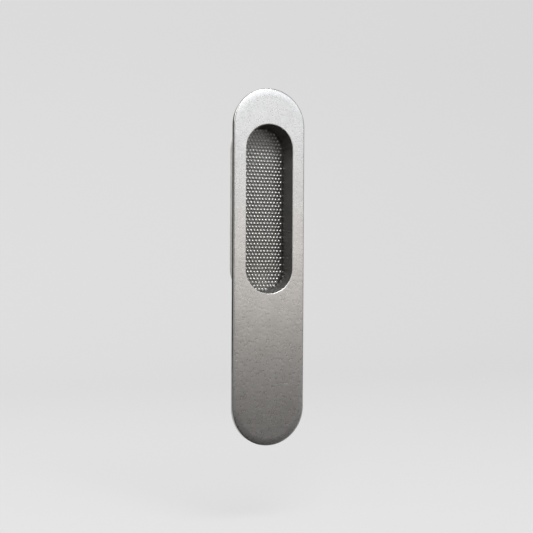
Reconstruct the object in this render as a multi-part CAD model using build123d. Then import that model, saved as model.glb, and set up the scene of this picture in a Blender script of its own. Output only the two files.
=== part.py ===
from build123d import *
from math import ceil, cos, hypot, pi, radians, sin, tan
import os

# Finger cup pull for a sliding door or drawer, cast in one piece.
# A long plate with round ends lies on the door's face. Its upper half carries a cup that sits
# in a slot of the door. The cup's floor is covered with small beads for grip.
# Millimetres. X is across the plate, +Y goes into the door, +Z is up.
# The origin is the centre of the cup's mouth, in the plane of the door's face.

# Cup
opening_width = 25.0
opening_length = 85.2
recess_depth = 12.2        # from the plate's front face to the cup's floor
recess_draft = 4.0         # degrees, the walls lean in towards the floor
lip_radius = 0.35          # rounding of the mouth's edge
cup_wall = 3.6             # at the mouth
cup_base = 2.6             # behind the floor
cup_lead_in = 0.4          # chamfer that guides the cup into the door's slot

# Plate
flange_land = 2.9          # plate beyond the cup on each side, resting on the door
top_margin = 18.1          # plate above the opening
lower_blank = 76.7         # plate below the opening
plate_thickness = 3.2
crown_width = 4.0          # soft crown along the plate's rim
crown_drop = 0.3
edge_radius = 0.6          # where the crown meets the side

# Beads on the cup's floor, in rows that are staggered by half a pitch
bead_pitch = 1.8
row_pitch = 1.78
bead_radius = 0.82
bead_height = 0.48
bead_sides = 6
bead_clearance = 0.15      # between a bead and the cup's wall

plate_radius = opening_width / 2 + cup_wall + flange_land
plate_front = -plate_thickness
floor_y = plate_front + recess_depth
plate_top = opening_length / 2 + top_margin
plate_bottom = -opening_length / 2 - lower_blank
floor_inset = recess_depth * tan(radians(recess_draft))
floor_radius = opening_width / 2 - floor_inset
end_centre = opening_length / 2 - opening_width / 2


def door_plane(y):
    """A plane parallel to the door's face, whose normal looks out of the front."""
    return Plane(origin=(0, y, 0), x_dir=(1, 0, 0), z_dir=(0, -1, 0))


def slot(y, width, length):
    """An upright slot outline with round ends."""
    return door_plane(y) * SlotOverall(length, width, rotation=90)


def plate_half_section():
    """Half of the plate's cross-section: flat back, square side, crowned rim, flat front."""
    side_top = (plate_radius, plate_front + crown_drop)
    crown_start = (plate_radius - crown_width, plate_front)
    outline = Polyline((0, plate_front), (0, 0), (plate_radius, 0), side_top)
    outline += TangentArc(crown_start, side_top, tangent=(1, 0))
    outline += Line(crown_start, (0, plate_front))
    section = make_face(outline)
    corner = section.vertices().sort_by_distance((*side_top, 0))[0]
    return fillet(corner, edge_radius)


def plate():
    """The section drawn along the straight part and turned about each round end's centre."""
    top = plate_top - plate_radius
    bottom = plate_bottom + plate_radius
    half = plate_half_section()
    section = half + mirror(half, about=Plane.YZ)
    body = extrude(Pos(0, 0, bottom) * section, amount=top - bottom, dir=(0, 0, 1))
    body += revolve(Pos(0, 0, top) * half, Axis((0, 0, top), (0, -1, 0)), 180)
    body += revolve(Pos(0, 0, bottom) * half, Axis((0, 0, bottom), (0, 1, 0)), 180)
    return body


def cup_body():
    """The cup's outside, which fills the door's slot."""
    depth = floor_y + cup_base
    outside = slot(0, opening_width + 2 * cup_wall, opening_length + 2 * cup_wall)
    body = extrude(outside, amount=-depth)
    back_edges = body.faces().sort_by(Axis.Y)[-1].edges()
    return chamfer(back_edges, cup_lead_in)


def recess():
    """The hollow for the fingers, wider at the mouth."""
    mouth = slot(plate_front, opening_width, opening_length)
    return extrude(mouth, amount=-recess_depth, taper=recess_draft)


def bead(x, z):
    """One bead on the floor: a low faceted dome, whose planar sides meet at its crest."""
    turn = 2 * pi / bead_sides
    foot = [
        (x + bead_radius * cos((n + 0.5) * turn), floor_y, z + bead_radius * sin((n + 0.5) * turn))
        for n in range(bead_sides)
    ]
    crest = (x, floor_y - bead_height, z)
    outlines = [foot]
    outlines += [(start, end, crest) for start, end in zip(foot, foot[1:] + foot[:1])]
    faces = [Face(Wire.make_polygon(outline)) for outline in outlines]
    return Solid(Shell(faces))


def bead_places():
    """Centres of the whole beads that fit inside the cup's wall."""
    reach = floor_radius - bead_radius - bead_clearance
    rows = ceil((end_centre + reach) / row_pitch)
    columns = ceil(reach / bead_pitch) + 1
    places = []
    for row in range(-rows, rows + 1):
        shift = bead_pitch / 2 if row % 2 else 0
        for column in range(-columns, columns + 1):
            x = column * bead_pitch + shift
            z = row * row_pitch
            past_end = max(abs(z) - end_centre, 0)
            if hypot(x, past_end) <= reach:
                places.append((x, z))
    return places


def cup_pull():
    """Plate and cup as cast, hollowed, with the mouth's edge rounded and the beads on the floor."""
    body = plate() + cup_body() - recess()
    front = body.faces().filter_by(Plane.XZ).sort_by(Axis.Y)[0]
    body = fillet(front.inner_wires()[0].edges(), lip_radius)
    beads = [bead(x, z) for x, z in bead_places()]
    return body.fuse(*beads, glue=True)


os.makedirs("parts", exist_ok=True)
pull = cup_pull()
export_step(pull, "parts/cup_pull.step")
print("plate", 2 * plate_radius, "x", plate_top - plate_bottom, "beads", len(bead_places()))
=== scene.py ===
import bpy
import bmesh
from math import asin, cos, pi, radians, sin, tan
from mathutils import Matrix, Vector


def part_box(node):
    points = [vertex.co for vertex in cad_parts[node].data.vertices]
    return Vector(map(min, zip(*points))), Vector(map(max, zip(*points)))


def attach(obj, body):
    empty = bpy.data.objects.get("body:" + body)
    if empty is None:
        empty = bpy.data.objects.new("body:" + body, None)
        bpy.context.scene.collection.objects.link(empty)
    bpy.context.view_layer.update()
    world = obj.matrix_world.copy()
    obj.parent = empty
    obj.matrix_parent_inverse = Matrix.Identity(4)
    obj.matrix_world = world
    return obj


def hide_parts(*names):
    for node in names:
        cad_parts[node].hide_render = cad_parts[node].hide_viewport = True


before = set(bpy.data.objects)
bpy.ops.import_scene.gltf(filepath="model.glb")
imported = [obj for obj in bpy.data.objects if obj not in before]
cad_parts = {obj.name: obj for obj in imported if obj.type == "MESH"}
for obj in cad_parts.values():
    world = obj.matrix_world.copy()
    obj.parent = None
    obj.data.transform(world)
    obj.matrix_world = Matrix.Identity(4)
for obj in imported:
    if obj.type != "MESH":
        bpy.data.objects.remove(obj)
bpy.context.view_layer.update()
mm = 0.001
pullLow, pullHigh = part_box("cup_pull")
print("frame: cup_pull from", tuple(pullLow), "to", tuple(pullHigh))

# The origin is the centre of the cup's mouth on the door's face. -Y is the front, +Z is up.

plateSizes = {
    "crownWidth": 4.0 * mm,     # soft crown along the rim
    "crownDrop": 0.3 * mm,
    "edgeRadius": 0.6 * mm,
    "backRadius": 0.45 * mm,    # the edge that lies on the door
    "support": 0.3 * mm,        # flat strip that keeps the shading of the face even
    "crownSteps": 10,
    "edgeSteps": 4,
    "arcSteps": 72,             # for each round end
    "sharpAngle": radians(32),  # steeper edges stay crisp
}
cupSizes = {
    "mouthRadius": 12.5 * mm,
    "mouthHalf": 30.1 * mm,     # from the middle to the centre of a round end
    "depth": 12.2 * mm,
    "draft": radians(4),
    "lipRadius": 0.35 * mm,
    "lipSteps": 5,
    "wall": 3.6 * mm,
    "leadIn": 0.4 * mm,
    "floorStrip": 0.25 * mm,    # flat strip of the floor beside the wall
    "wallSteps": 6,
}
beadSizes = {
    "Pitch": 1.8 * mm,
    "Row pitch": 1.78 * mm,
    "Radius": 0.86 * mm,
    "Height": 0.48 * mm,
    "Segments": 16,
    "Rings": 10,
}

frontY, cupBackY = pullLow.y, pullHigh.y
floorY = frontY + cupSizes["depth"]
floorRadius = cupSizes["mouthRadius"] - cupSizes["depth"] * tan(cupSizes["draft"])
plateRadius = pullHigh.x
plateTop = pullHigh.z - plateRadius             # centres of the round ends
plateBottom = pullLow.z + plateRadius
middleZ = (pullLow.z + pullHigh.z) / 2


def addObject(name, data):
    thing = bpy.data.objects.new(name, data)
    bpy.context.scene.collection.objects.link(thing)
    return thing


def meshFrom(bm, name):
    mesh = bpy.data.meshes.new(name)
    bm.to_mesh(mesh)
    bm.free()
    return mesh


# Materials

nickelLooks = {
    # light and dark are the ends of the colour, speckle is the share of the fine pattern in it
    "blastedNickel": {
        "light": (0.665, 0.663, 0.659), "dark": (0.555, 0.553, 0.550), "speckle": 0.4,
        "roughness": (0.265, 0.295), "metallic": 1.0, "peelDepth": 0.036 * mm, "grainDepth": 0.004 * mm,
    },
    # Rounding of the plate's edge and the plate's side: the face's nickel painted darker, painted shade
    # that gives the dark line along the side and tones down the highlight on the rim.
    "rimNickelPaintedShade": {
        "light": (0.500, 0.495, 0.485), "dark": (0.430, 0.425, 0.415), "speckle": 0.5,
        "roughness": (0.29, 0.33), "metallic": 1.0, "peelDepth": 0.012 * mm, "grainDepth": 0.006 * mm,
    },
    # Walls and floor of the cup: the same nickel painted dark, painted shade of the recess.
    "cupNickelPaintedShade": {
        "light": (0.200, 0.197, 0.190), "dark": (0.170, 0.167, 0.161), "speckle": 0.2,
        "roughness": (0.27, 0.31), "metallic": 1.0, "peelDepth": 0.004 * mm, "grainDepth": 0.002 * mm,
    },
    # Beads: the same nickel painted darker than the face, painted shade of the recess around the beads'
    # highlights.
    "beadNickelPaintedShade": {
        "light": (0.460, 0.453, 0.440), "dark": (0.400, 0.394, 0.382), "speckle": 0.2,
        "roughness": (0.32, 0.35), "metallic": 1.0, "peelDepth": 0.0, "grainDepth": 0.0,
    },
    "rawCastNickel": {
        "light": (0.660, 0.645, 0.615), "dark": (0.560, 0.545, 0.520), "speckle": 0.4,
        "roughness": (0.52, 0.64), "metallic": 0.3, "peelDepth": 0.060 * mm, "grainDepth": 0.030 * mm,
    },
}
patterns = {
    # name: size of one patch, detail
    "cloud": (6 * mm, 3.0),
    "peel": (1.5 * mm, 2.0),
    "grain": (0.5 * mm, 1.0),
}
noiseRange = (0.25, 0.75)       # most of a noise lies between these


def addNode(tree, kind, values=None, **settings):
    node = tree.nodes.new(kind)
    for name, value in settings.items():
        setattr(node, name, value)
    for socket, value in (values or {}).items():
        node.inputs[socket].default_value = value
    return node


def newMaterial(name):
    material = bpy.data.materials.new(name)
    material.use_nodes = True
    tree = material.node_tree
    tree.nodes.clear()
    shader = addNode(tree, "ShaderNodeBsdfPrincipled")
    output = addNode(tree, "ShaderNodeOutputMaterial")
    tree.links.new(shader.outputs["BSDF"], output.inputs["Surface"])
    place = addNode(tree, "ShaderNodeTexCoord")
    return material, tree, shader, place.outputs["Object"]


def noise(tree, place, pattern):
    size, detail = patterns[pattern]
    node = addNode(tree, "ShaderNodeTexNoise", {"Scale": 1 / size, "Detail": detail})
    tree.links.new(place, node.inputs["Vector"])
    return node.outputs["Fac"]


def spread(tree, value, low, high):
    limits = {"From Min": noiseRange[0], "From Max": noiseRange[1], "To Min": low, "To Max": high}
    node = addNode(tree, "ShaderNodeMapRange", limits)
    tree.links.new(value, node.inputs["Value"])
    return node.outputs["Result"]


def bump(tree, height, distance, under=None):
    node = addNode(tree, "ShaderNodeBump", {"Distance": distance})
    tree.links.new(height, node.inputs["Height"])
    if under:
        tree.links.new(under, node.inputs["Normal"])
    return node.outputs["Normal"]


def mixed(tree, first, second, share):
    node = addNode(tree, "ShaderNodeMix", {"Factor": share})
    tree.links.new(first, node.inputs["A"])
    tree.links.new(second, node.inputs["B"])
    return node.outputs["Result"]


def nickel(name):
    look = nickelLooks[name]
    material, tree, shader, place = newMaterial(name)
    cloud = noise(tree, place, "cloud")
    peel = noise(tree, place, "peel")
    tint = addNode(tree, "ShaderNodeMix", data_type="RGBA")
    tone = mixed(tree, spread(tree, cloud, 0.0, 1.0), spread(tree, peel, 0.0, 1.0), look["speckle"])
    tree.links.new(tone, tint.inputs["Factor"])
    tint.inputs["A"].default_value = (*look["dark"], 1)
    tint.inputs["B"].default_value = (*look["light"], 1)
    tree.links.new(tint.outputs["Result"], shader.inputs["Base Color"])
    tree.links.new(spread(tree, peel, *look["roughness"]), shader.inputs["Roughness"])
    if look["peelDepth"]:
        fine = bump(tree, noise(tree, place, "grain"), look["grainDepth"])
        tree.links.new(bump(tree, peel, look["peelDepth"], fine), shader.inputs["Normal"])
    shader.inputs["Metallic"].default_value = look["metallic"]
    return material


materials = {name: nickel(name) for name in nickelLooks}
print("materials:", ", ".join(materials))


# Body of the pull: rings with round ends, from the cup's back round the plate to the cup's floor

def ringPoints(y, radius, low, high):
    steps = plateSizes["arcSteps"]
    points = []
    for centre, start in ((high, 0), (low, pi)):
        for step in range(steps + 1):
            angle = start + pi * step / steps
            points.append(Vector((radius * cos(angle), y, centre + radius * sin(angle))))
    return points


def plateRings():
    p = plateSizes
    back = p["backRadius"]
    rings = []
    for step in range(p["edgeSteps"] + 1):          # edge that lies on the door
        angle = pi / 2 * step / p["edgeSteps"]
        rings.append((-back * (1 - cos(angle)), plateRadius - back * (1 - sin(angle))))
    crownRadius = (p["crownWidth"] ** 2 + p["crownDrop"] ** 2) / (2 * p["crownDrop"])
    crownStart = plateRadius - p["crownWidth"]
    edge = p["edgeRadius"]
    edgeCentre = plateRadius - edge                 # the rounding touches the side and the crown's arc
    crownAngle = asin((edgeCentre - crownStart) / (crownRadius - edge))
    edgeY = frontY + crownRadius - (crownRadius - edge) * cos(crownAngle)
    for step in range(p["edgeSteps"] + 1):          # rounding between side and crown
        angle = (pi / 2 - crownAngle) * step / p["edgeSteps"]
        rings.append((edgeY - edge * sin(angle), edgeCentre + edge * cos(angle)))
    for step in range(1, p["crownSteps"] + 1):      # crown, rising to the flat face
        angle = crownAngle * (1 - step / p["crownSteps"])
        rings.append((frontY + crownRadius * (1 - cos(angle)), crownStart + crownRadius * sin(angle)))
    rings.append((frontY, crownStart - p["support"]))
    return [(y, radius, plateBottom, plateTop) for y, radius in rings]


def cupOutsideRings():
    c = cupSizes
    radius = c["mouthRadius"] + c["wall"]
    profile = [
        (cupBackY, radius - c["leadIn"] - plateSizes["support"]),
        (cupBackY, radius - c["leadIn"]),
        (cupBackY - c["leadIn"], radius),
        (0.0, radius),
        (0.0, radius + plateSizes["support"]),
    ]
    return [(y, r, -c["mouthHalf"], c["mouthHalf"]) for y, r in profile]


def cupInsideRings():
    c = cupSizes
    lip = c["lipRadius"]
    arc = pi / 2 - c["draft"]
    wallStart = lip * tan(arc / 2)                  # how far the rounding reaches onto the face
    rings = [(frontY, c["mouthRadius"] + wallStart + plateSizes["support"])]
    for step in range(c["lipSteps"] + 1):
        angle = arc * step / c["lipSteps"]
        rings.append((frontY + lip * (1 - cos(angle)), c["mouthRadius"] + wallStart - lip * sin(angle)))
    topY, topR = rings[-1]
    for step in range(1, c["wallSteps"] + 1):
        share = step / c["wallSteps"]
        rings.append((topY + (floorY - topY) * share, topR + (floorRadius - topR) * share))
    rings.append((floorY, floorRadius - c["floorStrip"]))
    return [(y, r, -c["mouthHalf"], c["mouthHalf"]) for y, r in rings]


def joinRings(bm, rings, materialOf):
    loops = [[bm.verts.new(point) for point in ringPoints(*ring)] for ring in rings]
    for index, (outer, inner) in enumerate(zip(loops, loops[1:])):
        for k in range(len(outer)):
            n = (k + 1) % len(outer)
            face = bm.faces.new((outer[k], outer[n], inner[n], inner[k]))
            face.material_index = materialOf(index)
    for loop, index in ((loops[0], 0), (loops[-1], len(loops) - 2)):
        bm.faces.new(loop).material_index = materialOf(index)


def finishMesh(name, bm, surfaces):
    bmesh.ops.recalc_face_normals(bm, faces=bm.faces)
    mesh = meshFrom(bm, name)
    for surface in surfaces:
        mesh.materials.append(materials[surface])
    mesh.shade_smooth()
    mesh.set_sharp_from_angle(angle=plateSizes["sharpAngle"])
    return addObject(name, mesh)


def makePull():
    outside, plate, inside = cupOutsideRings(), plateRings(), cupInsideRings()
    surfaces = ("rawCastNickel", "rimNickelPaintedShade", "blastedNickel", "cupNickelPaintedShade")
    # The rings where the rim, the face and the cup's wall begin
    rimStart = len(outside)
    faceStart = rimStart + 2 * plateSizes["edgeSteps"] + 1
    cupStart = rimStart + len(plate) + 1 + cupSizes["lipSteps"]

    def materialOf(index):
        return sum(index >= start for start in (rimStart, faceStart, cupStart))

    bm = bmesh.new()
    joinRings(bm, outside + plate + inside, materialOf)
    return finishMesh("pullBody", bm, surfaces)


pull = makePull()
print("pull:", len(pull.data.polygons), "faces")


# Beads on the cup's floor: a staggered lattice of domes, as far as the cup's wall

def makeBeadTree():
    tree = bpy.data.node_groups.new("beadLattice", "GeometryNodeTree")
    sockets = tree.interface
    for name in ("Pitch", "Row pitch", "Radius", "Height", "Floor Y", "End centre", "Reach"):
        sockets.new_socket(name, in_out="INPUT", socket_type="NodeSocketFloat")
    for name in ("Segments", "Rings", "Columns", "Rows"):
        sockets.new_socket(name, in_out="INPUT", socket_type="NodeSocketInt")
    sockets.new_socket("Finish", in_out="INPUT", socket_type="NodeSocketMaterial")
    sockets.new_socket("Geometry", in_out="OUTPUT", socket_type="NodeSocketGeometry")
    given = tree.nodes.new("NodeGroupInput").outputs
    result = tree.nodes.new("NodeGroupOutput").inputs
    link = tree.links.new

    def math(operation, a, b=None):
        node = addNode(tree, "ShaderNodeMath", operation=operation)
        for socket, value in ((0, a), (1, b)):
            if value is None:
                continue
            if isinstance(value, (int, float)):
                node.inputs[socket].default_value = value
            else:
                link(value, node.inputs[socket])
        return node.outputs[0]

    def combine(x, y, z):
        node = addNode(tree, "ShaderNodeCombineXYZ")
        for socket, value in enumerate((x, y, z)):
            link(value, node.inputs[socket])
        return node.outputs[0]

    # One point for each bead: column and row come from the point's index
    count = math("MULTIPLY", given["Columns"], given["Rows"])
    points = addNode(tree, "GeometryNodePoints")
    link(count, points.inputs["Count"])
    index = addNode(tree, "GeometryNodeInputIndex").outputs[0]
    row = math("FLOOR", math("DIVIDE", index, given["Columns"]))
    column = math("SUBTRACT", index, math("MULTIPLY", row, given["Columns"]))
    middleRow = math("DIVIDE", math("SUBTRACT", given["Rows"], 1.0), 2.0)
    middleColumn = math("DIVIDE", math("SUBTRACT", given["Columns"], 1.0), 2.0)
    fromMiddle = math("SUBTRACT", row, middleRow)
    shift = math("MULTIPLY", math("FLOORED_MODULO", fromMiddle, 2.0), 0.5)
    x = math("MULTIPLY", math("ADD", math("SUBTRACT", column, middleColumn), shift), given["Pitch"])
    z = math("MULTIPLY", fromMiddle, given["Row pitch"])
    link(combine(x, given["Floor Y"], z), points.inputs["Position"])

    # Beads whose centre lies past the wall are dropped
    pastEnd = math("MAXIMUM", math("SUBTRACT", math("ABSOLUTE", z), given["End centre"]), 0.0)
    away = math("SQRT", math("ADD", math("MULTIPLY", x, x), math("MULTIPLY", pastEnd, pastEnd)))
    drop = addNode(tree, "GeometryNodeDeleteGeometry", domain="POINT")
    link(points.outputs[0], drop.inputs["Geometry"])
    link(math("GREATER_THAN", away, given["Reach"]), drop.inputs["Selection"])

    # The dome: a flattened ball, without the half that lies in the floor
    ball = addNode(tree, "GeometryNodeMeshUVSphere")
    link(given["Segments"], ball.inputs["Segments"])
    link(given["Rings"], ball.inputs["Rings"])
    ball.inputs["Radius"].default_value = 1.0
    squash = addNode(tree, "GeometryNodeTransform")
    link(ball.outputs["Mesh"], squash.inputs["Geometry"])
    link(combine(given["Radius"], given["Radius"], given["Height"]), squash.inputs["Scale"])
    height = addNode(tree, "ShaderNodeSeparateXYZ")
    link(addNode(tree, "GeometryNodeInputPosition").outputs[0], height.inputs[0])
    halve = addNode(tree, "GeometryNodeDeleteGeometry", domain="FACE")
    link(squash.outputs["Geometry"], halve.inputs["Geometry"])
    link(math("LESS_THAN", height.outputs["Z"], 0.0), halve.inputs["Selection"])
    turn = addNode(tree, "GeometryNodeTransform", {"Rotation": (pi / 2, 0, 0)})
    link(halve.outputs["Geometry"], turn.inputs["Geometry"])
    smooth = addNode(tree, "GeometryNodeSetShadeSmooth")
    link(turn.outputs["Geometry"], smooth.inputs["Geometry"])

    place = addNode(tree, "GeometryNodeInstanceOnPoints")
    link(drop.outputs["Geometry"], place.inputs["Points"])
    link(smooth.outputs["Geometry"], place.inputs["Instance"])
    realize = addNode(tree, "GeometryNodeRealizeInstances")
    link(place.outputs["Instances"], realize.inputs["Geometry"])
    finish = addNode(tree, "GeometryNodeSetMaterial")
    link(realize.outputs["Geometry"], finish.inputs["Geometry"])
    link(given["Finish"], finish.inputs["Material"])
    link(finish.outputs["Geometry"], result["Geometry"])
    return tree


def runTree(name, tree, values):
    holder = addObject(name + "Holder", bpy.data.meshes.new(name + "Holder"))
    modifier = holder.modifiers.new(name, "NODES")
    modifier.node_group = tree
    for item in tree.interface.items_tree:
        if item.in_out == "INPUT" and item.name in values:
            modifier[item.identifier] = values[item.name]
    bpy.context.view_layer.update()
    graph = bpy.context.evaluated_depsgraph_get()
    mesh = bpy.data.meshes.new_from_object(holder.evaluated_get(graph))
    mesh.name = name
    bpy.data.objects.remove(holder)
    return addObject(name, mesh)


def makeBeads():
    values = dict(beadSizes)
    values["Floor Y"] = floorY
    values["End centre"] = cupSizes["mouthHalf"]
    values["Reach"] = floorRadius
    # Odd counts put one bead in the middle, and the lattice reaches past the wall on every side
    values["Columns"] = 2 * int(floorRadius / beadSizes["Pitch"] + 2) + 1
    values["Rows"] = 2 * int((cupSizes["mouthHalf"] + floorRadius) / beadSizes["Row pitch"] + 1) + 1
    values["Finish"] = materials["beadNickelPaintedShade"]
    return runTree("gripBeads", makeBeadTree(), values)


beads = makeBeads()
print("beads:", len(beads.data.polygons), "faces")

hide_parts("cup_pull")
for piece in (pull, beads):
    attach(piece, "root")


# Studio: a pale sweep, dark cards, a high box with lower cards in front, a fill behind and an even sky
# Azimuth 0 is the front and 90 the right.

stageSizes = {
    "floorGap": 0.045,          # below the pull
    "halfWidth": 2.6,
    "front": -2.2,
    "back": 1.1,
    "sweepRadius": 0.5,
    "sweepSteps": 16,
    "top": 2.4,
    "colour": (0.16, 0.16, 0.16, 1),
    "roughness": 0.9,
    "specular": 0.1,
    "glow": 0.565,              # paleness that the camera, metal and glass see
}


def sweepMaterial():
    material, tree, shader, _ = newMaterial("paleSweep")
    path = addNode(tree, "ShaderNodeLightPath")
    seen = path.outputs["Is Camera Ray"]
    for ray in ("Is Glossy Ray", "Is Transmission Ray"):
        either = addNode(tree, "ShaderNodeMath", operation="MAXIMUM")
        tree.links.new(seen, either.inputs[0])
        tree.links.new(path.outputs[ray], either.inputs[1])
        seen = either.outputs[0]
    glow = addNode(tree, "ShaderNodeMath", {1: stageSizes["glow"]}, operation="MULTIPLY")
    tree.links.new(seen, glow.inputs[0])
    tree.links.new(glow.outputs[0], shader.inputs["Emission Strength"])
    shader.inputs["Base Color"].default_value = stageSizes["colour"]
    shader.inputs["Emission Color"].default_value = (1, 1, 1, 1)
    shader.inputs["Roughness"].default_value = stageSizes["roughness"]
    shader.inputs["Specular IOR Level"].default_value = stageSizes["specular"]
    return material


def makeSweep():
    s = stageSizes
    floorZ = pullLow.z - s["floorGap"]
    line = [(s["front"], floorZ)]
    for step in range(s["sweepSteps"] + 1):
        angle = pi / 2 * step / s["sweepSteps"]
        y = s["back"] - s["sweepRadius"] * (1 - sin(angle))
        line.append((y, floorZ + s["sweepRadius"] * (1 - cos(angle))))
    line.append((s["back"], s["top"]))
    bm = bmesh.new()
    sides = [[bm.verts.new((x, y, z)) for y, z in line] for x in (-s["halfWidth"], s["halfWidth"])]
    for k in range(len(line) - 1):
        bm.faces.new((sides[0][k], sides[1][k], sides[1][k + 1], sides[0][k + 1]))
    mesh = meshFrom(bm, "sweep")
    mesh.materials.append(sweepMaterial())
    mesh.shade_smooth()
    sweep = addObject("sweep", mesh)


# Dark cards, as a photographer sets round polished metal. They stand outside the camera's view,
# and only reflections show them.

flags = {
    # name: azimuths, profile as distance and height above the sweep's floor, colour
    "frontFlag": ((-30, 69), ((0.5, 0.0), (1.5, 0.0), (1.5, 2.2)), (0.021, 0.0155, 0.0135)),
    "nearFlag": ((-110, 46), ((0.0, 0.0), (0.5, 0.0)), (0.015, 0.011, 0.0095)),
    "leftFloorFlag": ((202, 250), ((0.3, 0.0), (0.6, 0.0)), (0.020, 0.018, 0.017)),
    "leftFlag": ((187, 250), ((0.6, 0.0), (0.7, 0.0), (0.7, 0.45)), (0.020, 0.018, 0.017)),
}
flagSizes = {
    "lift": 2 * mm,             # keeps the cards off the sweep
    "ribs": 24,
    "roughness": 0.9,
}
hiddenFrom = ("camera", "diffuse", "transmission", "shadow", "volume_scatter")


def makeFlags():
    floorZ = pullLow.z - stageSizes["floorGap"] + flagSizes["lift"]
    for name, ((first, last), profile, colour) in flags.items():
        material, tree, shader, _ = newMaterial(name + "Cloth")
        shader.inputs["Base Color"].default_value = (*colour, 1)
        shader.inputs["Roughness"].default_value = flagSizes["roughness"]
        bm = bmesh.new()
        ribs = []
        for step in range(flagSizes["ribs"] + 1):
            angle = radians(first + (last - first) * step / flagSizes["ribs"])
            points = [(r * sin(angle), -r * cos(angle), floorZ + h) for r, h in profile]
            ribs.append([bm.verts.new(point) for point in points])
        for rib, following in zip(ribs, ribs[1:]):
            for k in range(len(profile) - 1):
                bm.faces.new((rib[k], following[k], following[k + 1], rib[k + 1]))
        mesh = meshFrom(bm, name)
        mesh.materials.append(material)
        flag = addObject(name, mesh)
        for rays in hiddenFrom:
            setattr(flag, "visible_" + rays, False)


lamps = {
    # name: azimuth, elevation, distance, size, watts, colour
    "highBox": (-4, 47, 1.2, (0.9, 0.30), 11.0, (0.98, 0.99, 1.00)),
    "upperCard": (20, 24, 1.2, (1.4, 0.30), 2.5, (0.96, 0.98, 1.00)),
    "frontCard": (20, 10, 1.2, (1.4, 0.17), 1.12, (0.965, 0.98, 1.00)),
    "lowCard": (20, 0.0, 1.2, (1.4, 0.17), 0.98, (1.00, 0.93, 0.86)),
    "leftCard": (-58, 20, 1.2, (0.35, 0.5), 0.4, (1.00, 1.00, 1.00)),
    "rearFill": (250, 35, 0.9, (0.8, 0.5), 3.7, (1.00, 0.98, 0.95)),
}


def towards(azimuth, elevation):
    a, e = radians(azimuth), radians(elevation)
    return Vector((sin(a) * cos(e), -cos(a) * cos(e), sin(e)))


def makeLamps(target):
    for name, (azimuth, elevation, distance, size, watts, colour) in lamps.items():
        data = bpy.data.lights.new(name, "AREA")
        data.shape = "RECTANGLE"
        data.size, data.size_y = size
        data.energy = watts
        data.color = colour
        lamp = addObject(name, data)
        back = towards(azimuth, elevation)
        lamp.location = target + back * distance
        lamp.rotation_euler = back.to_track_quat("Z", "Y").to_euler()


sky = {"grey": 0.70}


def makeSky():
    world = bpy.data.worlds.new("studio")
    world.use_nodes = True
    bpy.context.scene.world = world
    world.node_tree.nodes["Background"].inputs["Color"].default_value = (*(sky["grey"],) * 3, 1)


# Camera: to the left of the pull, level with the middle of the plate

cameraPlace = {
    "azimuth": -20.9,
    "elevation": 0.3,
    "roll": 0.28,
    "distance": 0.4933,
    "aside": 1.45 * mm,          # the plate's middle lies this far to the right of the frame's centre
    "below": 0.3 * mm,
    "lens": 66.2,
    "clip": (0.01, 20),
}


def makeCamera():
    c = cameraPlace
    back = towards(c["azimuth"], c["elevation"])
    right = Vector((0, 0, 1)).cross(back).normalized()
    up = back.cross(right)
    middle = Vector((0, frontY, middleZ))
    aim = middle - right * c["aside"] + up * c["below"]
    turn = Matrix.Rotation(radians(c["roll"]), 4, "Z")
    axes = Matrix((right, up, back)).transposed().to_4x4()
    data = bpy.data.cameras.new("camera")
    data.lens = c["lens"]
    data.clip_start, data.clip_end = c["clip"]
    camera = addObject("camera", data)
    camera.matrix_world = Matrix.Translation(aim + back * c["distance"]) @ axes @ turn
    bpy.context.scene.camera = camera


makeSweep()
makeFlags()
makeLamps(Vector((0, 0, middleZ)))
makeSky()
makeCamera()
bpy.context.scene.view_settings.view_transform = "Standard"
print("studio and camera ready")
